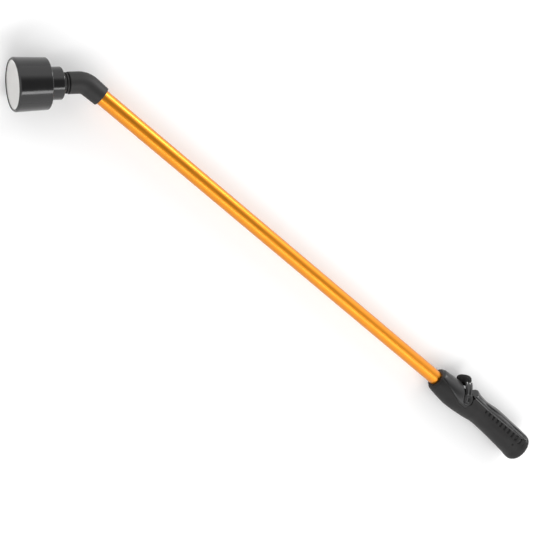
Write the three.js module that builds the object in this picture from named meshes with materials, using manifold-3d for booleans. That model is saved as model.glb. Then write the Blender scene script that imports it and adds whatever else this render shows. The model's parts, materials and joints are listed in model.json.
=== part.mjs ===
// A watering wand: a hose handle with a thumb valve, a long aluminium tube, an elbow and a
// screw-on water breaker that turns the stream into a soft shower.
//
// The pieces are drawn in the wand's own frame, in millimetres: +X runs along the tube from the
// hose inlet to the elbow, +Y is the user's left and +Z is the thumb side. The breaker's pieces
// are drawn along +X from the middle of the elbow's bend. At the end the wand is laid down on its
// side, thumb lever low, as it rests on the ground.

import * as THREE from 'three';
import { mergeVertices } from 'three/addons/utils/BufferGeometryUtils.js';
import Module from 'manifold-3d';

const wasm = await Module();
wasm.setup();

// ---- Driving dimensions ----

const GAP = 0.3;                 // clearance between neighbouring pieces
const ROUND = 32;                // sides of a visible round
const HIDDEN_ROUND = 20;         // sides of a round inside the wand

const TUBE = { radius: 9.525, wall: 1.25, start: 133, end: 750.9 };

const BEND_ANGLE = THREE.MathUtils.degToRad(42);
const BEND_RADIUS = 20;
const BEND_START = 751.5;
const BEND_LENGTH = BEND_RADIUS * BEND_ANGLE;
const BEND_MIDDLE = BEND_START + BEND_RADIUS * Math.tan(BEND_ANGLE / 2);
// Length along the straightened elbow of a place that lies `s` past the middle of the bend.
const pastBend = (s) => s + BEND_LENGTH - BEND_RADIUS * Math.tan(BEND_ANGLE / 2) + BEND_START;

const ELBOW = {
  skirtMouth: 734, skirtRadius: 12.0, bendRadius: 12.6, spigotStart: 716, spigotRadius: 7.9,
  waterway: 5.0, shoulder: 20, neckRadius: 12.1, ringFloor: 10.3, threadStart: 28.7, threadEnd: 42.3, threadRadius: 13.3,
};
const O_RING = { thickness: 1.6, elbowRadius: 7.1, handleRadius: 10.75, stemRadius: 4.45, stemThickness: 1.1 };
const O_RING_ROOM = O_RING.thickness + 2 * GAP;

const HANDLE_LENGTH = 166.3;
const MOUTH_RADIUS = 9.9;
const BARREL = { radius: 12.9, start: 104, end: 158.8, socket: 9.85, tubeStop: 132.4 };
const INLET = { radius: 17.2, bore: 15.7, mouth: 1.6, seat: 17.0, insertRadius: 15.4, threadBore: 13.6 };
const WATERWAY = 5.5;
const PIPE_RADIUS = 8.6;
const PIPE_FLANGES = [45, 75];

const PIVOT = { x: 117.5, z: 0 };
const PLUG = { radius: 9.0, half: 9.8, stem: 5.0, stemEnd: 13.6, driveEnd: 16.3, drive: 6.0 };
const CHAMBER = { bore: PLUG.radius + GAP, radius: 12.0, half: 13.6, endRadius: 10.2, floor: 10.2 };
const PORT = { height: 6.4, width: 10.4 };
const SEAT_PORT = { height: 5.8, width: 9.6 };
const SEAT = { radius: 7.3, start: 103.5, length: 9.6 };

const LEVER_TILT = THREE.MathUtils.degToRad(24.5);
const LEVER = { bossRadius: 7.3, armWidth: 11.2, outer: 17.4, inner: 14.0, reach: 21, turnIn: 14.4, lean: 0.45 };
const CROSSBAR = { from: 17.6, to: 23, half: 12.5, depth: 6.0 };
const PAD = { reach: 25.2, half: 12.4, depth: 6.2, height: 7.0 };
const RECESS = { boss: 7.9, frontTilt: 25.5, frontOffset: 7.7, rearTilt: 16.7, rearOffset: 6.3, top: 10.5 };

const BREAKER = {
  collarStart: 28, collarRadius: 18.5, bore: 13.6, boreEnd: 45.3, cupStart: 44.5, cupRear: 29.2,
  cupRadius: 30.3, rim: 83.0, inside: 26.5, ledge: 61, faceSeat: 80.6, faceBore: 28.5, throat: 7.5,
};

// The wand lies on the handle's rear rim, the lever's right arm and the edge of the breaker.
const REST_ROLL = THREE.MathUtils.degToRad(12.4);
const REST_PITCH = THREE.MathUtils.degToRad(-0.2);

// Height of the handle's top and depth of its belly below the tube's axis, and its half width,
// each as [place along the handle, value].
const HANDLE_TOP = [[0, 18.2], [4, 19.3], [14, 20.1], [32, 20.9], [60, 22.0], [84, 20.2], [98, 22.0],
  [107, 24.2], [122, 19.6], [136, 17.6], [157, 16.3], [163, 15.6], [HANDLE_LENGTH, 13.4]];
const HANDLE_BELLY = [[0, 18.2], [3, 19.9], [8, 20.0], [14, 18.9], [32, 17.0], [60, 14.9], [84, 14.3],
  [98, 16.4], [129, 18.9], [148, 17.6], [163, 15.2], [HANDLE_LENGTH, 13.2]];
const HANDLE_HALF_WIDTH = [[0, 18.0], [4, 19.5], [14, 18.9], [32, 18.0], [60, 17.1], [84, 16.7], [100, 17.5],
  [129, 18.4], [148, 17.3], [163, 15.3], [HANDLE_LENGTH, 13.2]];
const PANEL = { start: 2.4, end: 113, edge: 7.6 };
const HOOD_EDGE = [[168, 3], [151, -2.3], [126, -9.8], [113.3, -9.8]];

// ---- Finishes ----

const finish = (color, roughness, metalness = 0) => ({ color, roughness, metalness });
const ORANGE = finish('#e8901a', 0.35, 0.6);
const GLOSS = finish('#141414', 0.18);
const MATTE = finish('#2e2e2d', 0.65);
const NYLON = finish('#262626', 0.5);
const ACETAL = finish('#ece9e0', 0.35);
const RUBBER = finish('#1b1b1b', 0.8);
const SEAL = finish('#7a2b22', 0.7);
const BRASS = finish('#b98f45', 0.3, 1);
const STEEL = finish('#c9cbcc', 0.3, 1);

// ---- Solids ----

// One closed mesh: shared corners joined, flat triangles dropped, faces outwards.
function closed(geometry) {
  const bare = geometry.clone();
  bare.deleteAttribute('normal');
  bare.deleteAttribute('uv');
  const merged = mergeVertices(bare, 1e-4);
  const corners = merged.index.array;
  const kept = [];
  for (let i = 0; i < corners.length; i += 3) {
    const [a, b, c] = corners.slice(i, i + 3);
    if (a !== b && b !== c && c !== a) kept.push(a, b, c);
  }
  merged.setIndex(volume(merged.attributes.position, kept) < 0 ? kept.reverse() : kept);
  return merged;
}

function volume(position, triangles) {
  const [a, b, c] = [new THREE.Vector3(), new THREE.Vector3(), new THREE.Vector3()];
  let total = 0;
  for (let i = 0; i < triangles.length; i += 3) {
    a.fromBufferAttribute(position, triangles[i]);
    b.fromBufferAttribute(position, triangles[i + 1]);
    c.fromBufferAttribute(position, triangles[i + 2]);
    total += a.dot(b.cross(c)) / 6;
  }
  return total;
}

function toSolid(geometry) {
  const mesh = closed(geometry);
  const vertProperties = new Float32Array(mesh.attributes.position.array);
  return new wasm.Manifold(new wasm.Mesh({ numProp: 3, vertProperties, triVerts: new Uint32Array(mesh.index.array) }));
}

function toGeometry(solid) {
  const { vertProperties, triVerts, numProp } = solid.getMesh();
  const position = new Float32Array((vertProperties.length / numProp) * 3);
  for (let i = 0; i < position.length / 3; i++) {
    for (let k = 0; k < 3; k++) position[3 * i + k] = vertProperties[numProp * i + k];
  }
  const geometry = new THREE.BufferGeometry();
  geometry.setAttribute('position', new THREE.BufferAttribute(position, 3));
  geometry.setIndex([...triVerts]);
  return geometry;
}

const join = (first, ...others) => others.reduce((whole, next) => whole.add(toSolid(next)), toSolid(first));
const cut = (solid, ...cutters) => cutters.reduce((rest, next) => rest.subtract(toSolid(next)), solid);

// A turned piece about the X axis, from a profile of [place along X, radius] points.
function turned(profile, sides = HIDDEN_ROUND) {
  const geometry = new THREE.LatheGeometry(profile.map(([x, r]) => new THREE.Vector2(r, x)), sides);
  return geometry.rotateZ(-Math.PI / 2);
}

// The same about the Y axis through the lever's pivot.
const turnedAtPivot = (profile, sides = HIDDEN_ROUND) =>
  turned(profile, sides).rotateZ(Math.PI / 2).translate(PIVOT.x, 0, PIVOT.z);

// The valve chamber's outer form, chamfered at both ends so that it stays within the grip, and
// drawn larger all round by `grow` for the room it sits in.
const chamberForm = (grow) => turnedAtPivot([-1, 1].flatMap((side) => {
  const corners = [[CHAMBER.half + grow, 0], [CHAMBER.half + grow, CHAMBER.endRadius + grow],
    [CHAMBER.half + grow - 1.8, CHAMBER.radius + grow]].map(([y, r]) => [side * y, r]);
  return side < 0 ? corners : corners.reverse();
}));

const ring = (from, to, inner, outer, sides = HIDDEN_ROUND) =>
  turned([[from, inner], [from, outer], [to, outer], [to, inner], [from, inner]], sides);

const bar = (from, to, radius) => [[from, 0], [from, radius], [to, radius], [to, 0]];

const oRing = (x, radius, thickness) =>
  new THREE.TorusGeometry(radius, thickness / 2, 6, HIDDEN_ROUND).rotateY(Math.PI / 2).translate(x, 0, 0);

// A flat outline in the X-Z plane given thickness along Y.
function plate(points, from, to) {
  const shape = new THREE.Shape(points.map(([x, z]) => new THREE.Vector2(x, z)));
  const geometry = new THREE.ExtrudeGeometry(shape, { depth: to - from, bevelEnabled: false });
  return geometry.rotateX(Math.PI / 2).translate(0, to, 0);
}

// An oblong hole through the pivot along X.
function port({ height, width }, from, to) {
  const half = width / 2 - height / 2;
  const shape = new THREE.Shape();
  shape.absarc(half, 0, height / 2, -Math.PI / 2, Math.PI / 2);
  shape.absarc(-half, 0, height / 2, Math.PI / 2, 1.5 * Math.PI);
  const geometry = new THREE.ExtrudeGeometry(shape, { depth: to - from, bevelEnabled: false, curveSegments: 6 });
  return geometry.rotateZ(Math.PI / 2).rotateY(Math.PI / 2).translate(from, 0, PIVOT.z).rotateX(Math.PI / 2);
}

// A value read off a list of [place, value] points, eased between them.
function along(points, x) {
  const next = Math.max(1, points.findIndex(([place]) => place >= x - 1e-6));
  const [[x0, v0], [x1, v1]] = [points[next - 1], points[next]];
  const slope = (i) => {
    const [before, after] = [points[Math.max(i - 1, 0)], points[Math.min(i + 1, points.length - 1)]];
    return (after[1] - before[1]) / (after[0] - before[0]);
  };
  const span = x1 - x0;
  const t = (x - x0) / span;
  return v0 * (1 + 2 * t) * (1 - t) ** 2 + slope(next - 1) * span * t * (1 - t) ** 2
    + v1 * t * t * (3 - 2 * t) + slope(next) * span * t * t * (t - 1);
}

// Round grooves cut into a profile, so that an O-ring sits in each.
const groove = (middle, surface, floor) => {
  const [from, to] = [middle - O_RING_ROOM / 2, middle + O_RING_ROOM / 2];
  return [[from, surface], [from, floor], [to, floor], [to, surface]];
};

// ---- Tube and elbow ----

const ELBOW_GROOVES = [722, 729];
const HANDLE_GROOVES = [140, 149];

const tube = () => ring(TUBE.start, TUBE.end, TUBE.radius - TUBE.wall, TUBE.radius, ROUND);

// Bends a straight turned piece round the elbow's curve, down from the tube's axis.
function bend(geometry) {
  const position = geometry.attributes.position;
  for (let i = 0; i < position.count; i++) {
    const [x, z] = [position.getX(i), position.getZ(i)];
    const inBend = THREE.MathUtils.clamp(x - BEND_START, 0, BEND_LENGTH);
    const angle = inBend / BEND_RADIUS;
    const beyond = x - BEND_START - inBend;
    const arm = BEND_RADIUS + z;
    position.setX(i, BEND_START + arm * Math.sin(angle) + beyond * Math.cos(angle));
    position.setZ(i, -BEND_RADIUS + arm * Math.cos(angle) - beyond * Math.sin(angle));
  }
  return geometry;
}

function elbow() {
  const steps = 6;
  const curve = (radius) => Array.from({ length: steps + 1 }, (_, i) =>
    [BEND_START + BEND_LENGTH * i / steps, radius]);
  const { spigotRadius: inner, neckRadius: neck } = ELBOW;
  const floor = O_RING.elbowRadius - O_RING.thickness / 2 - GAP;
  const slot = TUBE.radius + GAP + 0.05;
  const [shoulder, thread, end] = [ELBOW.shoulder, ELBOW.threadStart, ELBOW.threadEnd].map(pastBend);
  return bend(turned([
    [ELBOW.spigotStart, ELBOW.waterway], [ELBOW.spigotStart, inner],
    ...ELBOW_GROOVES.flatMap((x) => groove(x, inner, floor)),
    [TUBE.end + GAP, inner], [TUBE.end + GAP, slot], [ELBOW.skirtMouth, slot],
    [ELBOW.skirtMouth, ELBOW.skirtRadius - 0.5], [ELBOW.skirtMouth + 0.6, ELBOW.skirtRadius],
    ...curve(ELBOW.bendRadius), [shoulder - 0.5, ELBOW.bendRadius], [shoulder, ELBOW.bendRadius - 0.5],
    ...[0, 3].flatMap((s) => [[shoulder + s, ELBOW.ringFloor], [shoulder + s + 1.5, ELBOW.ringFloor],
      [shoulder + s + 1.5, neck], [shoulder + 3 + s, neck]]),
    [thread, neck], [thread, ELBOW.threadRadius], [end - 0.8, ELBOW.threadRadius],
    [end, ELBOW.threadRadius - 0.8], [end, ELBOW.waterway], ...curve(ELBOW.waterway).reverse(),
    [ELBOW.spigotStart, ELBOW.waterway],
  ]));
}

// ---- Handle: waterway, valve and seals ----

// The pressure body: hose socket, pipe, valve chamber and the socket that holds the tube.
function valveBody() {
  const floor = O_RING.handleRadius + O_RING.thickness / 2 + GAP;
  const pocket = SEAT.radius + GAP;
  const flanges = [...PIPE_FLANGES].reverse().flatMap((x) =>
    [[x + 1.5, PIPE_RADIUS], [x + 1.5, 11.2], [x - 1.5, 11.2], [x - 1.5, PIPE_RADIUS]]);
  const waterway = turned([
    [BARREL.end, BARREL.socket], [BARREL.end, BARREL.radius - 0.8], [BARREL.end - 0.8, BARREL.radius],
    [BARREL.start, BARREL.radius], [BARREL.start - 4, PIPE_RADIUS], ...flanges,
    [30, PIPE_RADIUS], [21, INLET.radius], [INLET.mouth, INLET.radius], [INLET.mouth, INLET.bore],
    [INLET.seat, INLET.bore], [INLET.seat, WATERWAY], [SEAT.start - GAP, WATERWAY], [SEAT.start - GAP, pocket],
    [BARREL.tubeStop, pocket], [BARREL.tubeStop, BARREL.socket],
    ...HANDLE_GROOVES.flatMap((x) => groove(x, BARREL.socket, floor)), [BARREL.end, BARREL.socket],
  ]);
  const bore = turnedAtPivot(bar(-CHAMBER.floor, CHAMBER.half + 1, CHAMBER.bore));
  const stemHole = turnedAtPivot(bar(-CHAMBER.half - 1, 0, PLUG.stem + GAP));
  const seats = turned(bar(SEAT.start - GAP, BARREL.tubeStop, pocket));
  return cut(join(waterway, chamberForm(0)), bore, stemHole, seats);
}

// The turning plug: a cylinder across the waterway with an oblong port, a stem and a square
// drive at each end.
function valvePlug() {
  const stemGroove = PLUG.stem - 1.4;
  const stem = (side) => turnedAtPivot([[0, 0], [0, PLUG.stem], [11.1, PLUG.stem], [11.1, stemGroove],
    [12.8, stemGroove], [12.8, PLUG.stem], [PLUG.stemEnd, PLUG.stem], [PLUG.stemEnd, 0]].map(([y, r]) => [side * y, r]));
  const length = PLUG.driveEnd - PLUG.stemEnd + 0.5;
  const drive = (side) => new THREE.BoxGeometry(PLUG.drive, length, PLUG.drive).rotateY(LEVER_TILT)
    .translate(PIVOT.x, side * (PLUG.driveEnd - length / 2), PIVOT.z);
  const core = turnedAtPivot(bar(-PLUG.half, PLUG.half, PLUG.radius), ROUND);
  return cut(join(core, stem(1), stem(-1), drive(1), drive(-1)), port(PORT, PIVOT.x - 12, PIVOT.x + 12));
}

// Closes the open side of the valve chamber round the left stem.
const plugRetainer = () => turnedAtPivot([[PLUG.half + 0.7, PLUG.stem + GAP], [PLUG.half + 0.7, PLUG.radius],
  [CHAMBER.half - 0.2, PLUG.radius], [CHAMBER.half - 0.2, PLUG.stem + GAP], [PLUG.half + 0.7, PLUG.stem + GAP]]);

// A seat that seals against the plug: side -1 is the hose side, side 1 the tube side.
function plugSeat(side) {
  const far = PIVOT.x + side * (PIVOT.x - SEAT.start);
  const near = far - side * SEAT.length;
  const [from, to] = [Math.min(far, near), Math.max(far, near)];
  return cut(join(turned(bar(from, to, SEAT.radius))), port(SEAT_PORT, from - 1, to + 1),
    turnedAtPivot(bar(-20, 20, CHAMBER.bore), ROUND));
}

const stemORing = (side) => new THREE.TorusGeometry(O_RING.stemRadius, O_RING.stemThickness / 2, 6, HIDDEN_ROUND)
  .rotateX(Math.PI / 2).translate(PIVOT.x, side * 11.95, PIVOT.z);

const inletInsert = () => ring(INLET.mouth - 0.4, INLET.seat - GAP, INLET.threadBore, INLET.insertRadius, ROUND);
const inletWasher = () => ring(INLET.seat - GAP - 3, INLET.seat - GAP, 7.5, INLET.threadBore - GAP);

// ---- Handle: shells ----

// The handle's outer form, from a plain cylinder whose rings follow the three outlines.
function handleForm() {
  const geometry = new THREE.CylinderGeometry(1, 1, 1, ROUND, 34).rotateZ(-Math.PI / 2);
  const position = geometry.attributes.position;
  for (let i = 0; i < position.count; i++) {
    const x = (position.getX(i) + 0.5) * HANDLE_LENGTH;
    const [y, z] = [position.getY(i), position.getZ(i)];
    position.setXYZ(i, x, y * along(HANDLE_HALF_WIDTH, x), z * along(z > 0 ? HANDLE_TOP : HANDLE_BELLY, x));
  }
  return geometry;
}

// The room inside the shells for the valve body and the tube.
const handleBore = () => turned([[-1, 0], [-1, INLET.radius + GAP], [21.3, INLET.radius + GAP], [27.6, 11.5],
  [100.5, 11.5], [103, BARREL.radius + GAP], [BARREL.end + 0.4, BARREL.radius + GAP],
  [BARREL.end + 0.4, MOUTH_RADIUS], [HANDLE_LENGTH + 2, MOUTH_RADIUS], [HANDLE_LENGTH + 2, 0]]);

// Where the lever swings: the line at `tilt` degrees from upright, `offset` from the pivot.
function recessLine(tilt, offset) {
  const angle = THREE.MathUtils.degToRad(tilt);
  const foot = [PIVOT.x + offset * Math.cos(angle), PIVOT.z - offset * Math.sin(angle)];
  const length = 40;
  return [foot, [foot[0] + length * Math.sin(angle), foot[1] + length * Math.cos(angle)]];
}

function recessOutline() {
  const front = recessLine(RECESS.frontTilt, RECESS.frontOffset);
  const rear = recessLine(-RECESS.rearTilt, -RECESS.rearOffset);
  return [...front, ...rear.reverse()];
}

function recess() {
  const outline = recessOutline();
  const aboveBarrel = plate([[60, RECESS.top], [160, RECESS.top], [160, 60], [60, 60]], -30, 30);
  const top = join(plate(outline, -30, 30)).intersect(toSolid(aboveBarrel));
  const sides = [-1, 1].map((side) => {
    const [from, to] = [side * 30, side * (LEVER.inner - GAP)].sort((a, b) => a - b);
    return join(plate(outline, from, to), turnedAtPivot(bar(from, to, RECESS.boss), ROUND));
  });
  return top.add(sides[0]).add(sides[1]);
}

const panelRegion = (grow) => plate([[PANEL.start - grow, PANEL.edge - grow], [PANEL.end, PANEL.edge - grow],
  [PANEL.end, 40], [PANEL.start - grow, 40]], -30, 30);
const hoodRegion = (grow) => {
  const edge = HOOD_EDGE.map(([x, z]) => [x, z - grow]);
  const [rear, low] = edge.at(-1);
  return plate([...edge, [rear - grow, low], [rear - grow, 40], [168, 40]], -30, 30);
};

// The three shells of the handle: the soft grip, the smooth hood in front of the lever and the
// glossy panel along the top.
function handleShells() {
  const shell = cut(join(handleForm()), handleBore(), chamberForm(GAP)).subtract(recess());
  const upper = cut(shell, turnedAtPivot(bar(-CHAMBER.half - GAP, CHAMBER.half + GAP, CHAMBER.radius + GAP)));
  return {
    grip: cut(shell, panelRegion(GAP), hoodRegion(GAP)),
    hood: upper.intersect(toSolid(hoodRegion(0))),
    panel: upper.intersect(toSolid(panelRegion(0))),
  };
}

// ---- Thumb lever ----

// One side of the yoke: a boss over the plug's square drive and an arm that leans in to the bar.
function leverArm(side, grow) {
  const half = LEVER.armWidth / 2 + grow;
  const length = (from, to) => {
    const stretch = plate([[-half, from], [half, from], [half, to], [-half, to]], LEVER.inner - grow, LEVER.outer + grow);
    const position = stretch.attributes.position;
    for (let i = 0; i < position.count; i++) {
      const lean = Math.max(0, position.getZ(i) - LEVER.turnIn) * LEVER.lean;
      position.setY(i, side * (position.getY(i) - lean));
    }
    return stretch;
  };
  const boss = turned(bar(side * LEVER.inner, side * LEVER.outer, LEVER.bossRadius), ROUND).rotateZ(Math.PI / 2);
  return join(length(0, LEVER.turnIn), length(LEVER.turnIn, LEVER.reach + grow), boss);
}

// Both arms and the bar between them, each face moved out by `grow`.
function leverYoke(grow = 0) {
  const [from, to] = [CROSSBAR.from - grow, CROSSBAR.to + grow];
  const crossbar = new THREE.BoxGeometry(CROSSBAR.depth + 2 * grow, 2 * CROSSBAR.half, to - from)
    .translate(0, 0, (from + to) / 2);
  return leverArm(1, grow).add(leverArm(-1, grow)).add(toSolid(crossbar));
}

function thumbLever() {
  const side = PLUG.drive + 2 * GAP;
  return toGeometry(cut(leverYoke(), new THREE.BoxGeometry(side, 2 * (PLUG.driveEnd + GAP), side)));
}

// The soft thumb bar moulded over the yoke's crossbar.
function leverPad() {
  const thumbBar = new THREE.CapsuleGeometry(1, 6, 5, 20)
    .scale(PAD.depth, PAD.half / 4, PAD.height).translate(0, 0, PAD.reach);
  return toGeometry(join(thumbBar).subtract(leverYoke(GAP)));
}

// Stands a lever piece, drawn upright over its pivot, at the angle it rests at.
const atPivot = (geometry) => geometry.rotateY(LEVER_TILT).translate(PIVOT.x, 0, PIVOT.z);

// ---- Water breaker, drawn from the middle of the bend ----

const breakerCup = () => turned([
  [BREAKER.collarStart, BREAKER.bore], [BREAKER.collarStart, BREAKER.collarRadius - 0.8],
  [BREAKER.collarStart + 0.8, BREAKER.collarRadius], [BREAKER.cupStart, BREAKER.collarRadius],
  [BREAKER.cupStart, BREAKER.cupRear - 1.2], [BREAKER.cupStart + 1.2, BREAKER.cupRear],
  [BREAKER.rim - 1.8, BREAKER.cupRadius], [BREAKER.rim - 0.5, BREAKER.cupRadius - 0.8],
  [BREAKER.rim, BREAKER.cupRadius - 1.6], [BREAKER.rim, BREAKER.faceBore], [BREAKER.faceSeat, BREAKER.faceBore],
  [BREAKER.faceSeat, BREAKER.inside], [BREAKER.ledge, BREAKER.inside], [BREAKER.ledge, BREAKER.inside - 1.3],
  [BREAKER.ledge - 3, BREAKER.inside - 1.3], [BREAKER.boreEnd + 3, 12], [BREAKER.boreEnd + 3, BREAKER.throat],
  [BREAKER.boreEnd, BREAKER.throat], [BREAKER.boreEnd, BREAKER.bore], [BREAKER.collarStart, BREAKER.bore],
], 40);

// The domed spray face; its fine holes are too small to matter to its shape.
function facePlate() {
  const radius = BREAKER.faceBore - GAP;
  const [back, edge, crown] = [BREAKER.faceSeat + GAP, BREAKER.faceSeat + 1.5, BREAKER.rim + 0.3];
  const dome = (x) => Array.from({ length: 5 }, (_, i) => [x + (crown - edge) * Math.cos((i / 4) * Math.PI / 2),
    (radius - 1.2) * Math.sin((i / 4) * Math.PI / 2)]);
  return turned([...dome(back), [back, radius], [edge, radius], ...dome(edge).reverse()], 40);
}

const faceRing = () => ring(BREAKER.faceSeat + 1.8, BREAKER.rim + 0.2, BREAKER.faceBore - 1.2, BREAKER.faceBore - GAP, 40);

// The perforated disc inside the cup that slows and spreads the stream.
function flowDiffuser() {
  const disc = turned(bar(BREAKER.ledge + GAP, BREAKER.ledge + 2.1, BREAKER.inside - GAP), 40);
  const hole = (radius, angle) => turned(bar(BREAKER.ledge - 2, BREAKER.ledge + 5, 1.6), 8)
    .translate(0, radius * Math.cos(angle), radius * Math.sin(angle));
  const holes = [[6, 9], [12, 18]].flatMap(([count, radius]) =>
    Array.from({ length: count }, (_, i) => hole(radius, (2 * Math.PI * i) / count)));
  return cut(join(disc), ...holes);
}

const breakerWasher = () => ring(ELBOW.threadEnd + GAP, BREAKER.boreEnd - GAP, 8, BREAKER.bore - GAP);

// ---- Assembly ----

function named(name, shape, look) {
  const geometry = shape instanceof THREE.BufferGeometry ? closed(shape) : toGeometry(shape);
  geometry.computeVertexNormals();
  const mesh = new THREE.Mesh(geometry, new THREE.MeshStandardMaterial(look));
  mesh.name = name;
  return mesh;
}

function assemble() {
  const shells = handleShells();
  const wand = new THREE.Group();
  wand.add(
    named('tube', tube(), ORANGE),
    named('elbow', elbow(), MATTE),
    named('elbow_o_ring_rear', oRing(ELBOW_GROOVES[0], O_RING.elbowRadius, O_RING.thickness), RUBBER),
    named('elbow_o_ring_front', oRing(ELBOW_GROOVES[1], O_RING.elbowRadius, O_RING.thickness), RUBBER),
    named('grip', shells.grip, MATTE),
    named('hood', shells.hood, GLOSS),
    named('top_panel', shells.panel, GLOSS),
    named('valve_body', valveBody(), NYLON),
    named('handle_o_ring_rear', oRing(HANDLE_GROOVES[0], O_RING.handleRadius, O_RING.thickness), RUBBER),
    named('handle_o_ring_front', oRing(HANDLE_GROOVES[1], O_RING.handleRadius, O_RING.thickness), RUBBER),
    named('plug_retainer', plugRetainer(), NYLON),
    named('plug_seat_rear', plugSeat(-1), SEAL),
    named('plug_seat_front', plugSeat(1), SEAL),
    named('inlet_insert', inletInsert(), BRASS),
    named('inlet_washer', inletWasher(), RUBBER),
    named('valve_plug', valvePlug(), ACETAL),
    named('stem_o_ring_left', stemORing(1), RUBBER),
    named('stem_o_ring_right', stemORing(-1), RUBBER),
    named('thumb_lever', atPivot(thumbLever()), GLOSS),
    named('lever_pad', atPivot(leverPad()), MATTE),
  );
  const breaker = new THREE.Group();
  breaker.position.x = BEND_MIDDLE;
  breaker.rotation.y = BEND_ANGLE;
  breaker.add(
    named('breaker_washer', breakerWasher(), RUBBER),
    named('breaker_cup', breakerCup(), GLOSS),
    named('flow_diffuser', flowDiffuser(), NYLON),
    named('face_plate', facePlate(), STEEL),
    named('face_ring', faceRing(), GLOSS),
  );
  wand.add(breaker);
  return wand;
}

// Lays the wand down on its side with its lowest points on the ground, and puts the origin under
// the middle of it.
function layDown(wand) {
  wand.rotation.x = Math.PI / 2 + REST_ROLL;
  const resting = new THREE.Group();
  resting.rotation.y = REST_PITCH;
  resting.add(wand);
  const box = new THREE.Box3().setFromObject(resting, true);
  const middle = box.getCenter(new THREE.Vector3());
  const part = new THREE.Group();
  part.name = 'watering_wand';
  resting.position.set(-middle.x, -middle.y, -box.min.z);
  part.add(resting);
  return part;
}

export default layDown(assemble());
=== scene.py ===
"""A watering wand: a hose handle with a thumb valve, a long anodised tube, an elbow and a
screw-on water breaker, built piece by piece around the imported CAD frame.

Every piece is drawn in millimetres in the wand's own frame, where +X runs along the tube from
the hose inlet to the elbow, +Y is the user's left and +Z is the thumb side. The breaker is drawn
along +X from the middle of the elbow's bend. A piece is put in its place as it is finished.
"""

import json
import logging
import math
from dataclasses import dataclass, field
from enum import Enum
from typing import NamedTuple, Sequence

import bmesh
import bpy
from bmesh.types import BMesh, BMVert
from bpy.types import Light, Material, Node, NodeSocket, NodeTree, Object
from mathutils import Matrix, Vector


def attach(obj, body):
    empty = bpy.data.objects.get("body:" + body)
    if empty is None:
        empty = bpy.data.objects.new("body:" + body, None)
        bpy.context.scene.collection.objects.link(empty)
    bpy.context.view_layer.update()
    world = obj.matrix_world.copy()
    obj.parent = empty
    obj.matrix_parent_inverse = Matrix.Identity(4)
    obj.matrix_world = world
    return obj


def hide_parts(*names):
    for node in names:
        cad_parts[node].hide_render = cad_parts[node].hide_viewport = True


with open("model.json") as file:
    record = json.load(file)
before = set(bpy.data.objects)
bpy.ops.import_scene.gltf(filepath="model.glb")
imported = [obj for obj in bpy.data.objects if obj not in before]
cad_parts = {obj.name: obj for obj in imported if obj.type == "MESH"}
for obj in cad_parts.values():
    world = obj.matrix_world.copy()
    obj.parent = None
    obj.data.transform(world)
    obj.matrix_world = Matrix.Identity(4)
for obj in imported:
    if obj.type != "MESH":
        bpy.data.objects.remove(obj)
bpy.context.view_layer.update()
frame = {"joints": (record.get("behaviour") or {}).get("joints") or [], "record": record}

log = logging.getLogger("watering_wand")

MM = 0.001
GAP = 0.3                  # clearance between neighbouring pieces, mm
ROUND = 96                 # sides of a visible round
FINE_ROUND = 48            # sides of a small or hidden round
BRACE = 0.35               # distance of a bracing ring from the rounded edge beside it, mm
CREASE = math.radians(48)  # a sharper fold than this is shaded as an edge
HOSE_PITCH = 2.209         # pitch of the hose thread and of the breaker's thread, mm
HEX_ROW = 0.866            # distance between the rows of a hexagonal grid, in pitches


class Body(Enum):
    """The bodies of the frame that pieces ride on."""

    WAND = "wand"
    LEVER = "lever"
    HEAD_WASHER = "head_washer"
    BREAKER = "breaker"


class Slot(Enum):
    """The material slots of the record."""

    TUBE = "anodised_tube"
    MATTE = "matte_moulding"
    GRIP = "grip_rubber"
    SATIN = "satin_moulding"
    GLOSS = "gloss_moulding"
    NYLON = "body_nylon"
    BRASS = "thread_brass"
    ACETAL = "plug_acetal"
    SEAL = "seal_rubber"
    STEEL = "spray_steel"


class Combine(Enum):
    """The ways that one solid meets another."""

    CUT = "DIFFERENCE"
    KEEP = "INTERSECT"
    JOIN = "UNION"


# ---- Placing ----


@dataclass(frozen=True)
class Placing:
    """The places that pieces are drawn in, each as a matrix from millimetres to the frame."""

    wand: Matrix
    lever: Matrix
    breaker: Matrix

    @classmethod
    def from_frame(cls, record: dict, joints: Sequence[dict]) -> "Placing":
        """Finds the wand, its lever and its breaker from the record's mount and joints.

        Args:
            record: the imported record.
            joints: the record's joints.

        Returns:
            The three places.
        """
        by_name = {joint["name"]: joint for joint in joints}
        along = -Vector(record["mounts"][0]["axis"]).normalized()
        thumb = along.cross(-Vector(by_name["lever_tilt"]["axis"])).normalized()
        left = thumb.cross(along)
        pivot = Vector(by_name["lever_tilt"]["pos_m"])
        origin = pivot - along * Handle.pivot_x * MM
        spray = Vector(by_name["breaker_turn"]["axis"]).normalized()
        bend = origin + along * Elbow.bend_middle() * MM
        lean = Matrix.Rotation(math.radians(Lever.tilt_deg), 4, "Y")
        wand = cls.frame_of(along, left, thumb, origin)
        return cls(
            wand=wand,
            lever=wand @ Matrix.Translation((Handle.pivot_x, 0, 0)) @ lean,
            breaker=cls.frame_of(spray, left, spray.cross(left), bend),
        )

    @staticmethod
    def frame_of(x: Vector, y: Vector, z: Vector, origin: Vector) -> Matrix:
        """Returns the matrix of a millimetre frame with these axes and this origin in metres."""
        turn = Matrix((x, y, z)).transposed().to_4x4()
        return Matrix.Translation(origin) @ turn @ Matrix.Scale(MM, 4)


# ---- Shaping ----


class Corner(NamedTuple):
    """A corner of a turned piece's outline, in millimetres."""

    x: float
    r: float
    round: float = 0.0


def smoothstep(low: float, high: float, value: float) -> float:
    """Returns 0 below low, 1 above high, and an eased value between them."""
    t = min(max((value - low) / (high - low), 0.0), 1.0)
    return t * t * (3 - 2 * t)


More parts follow.
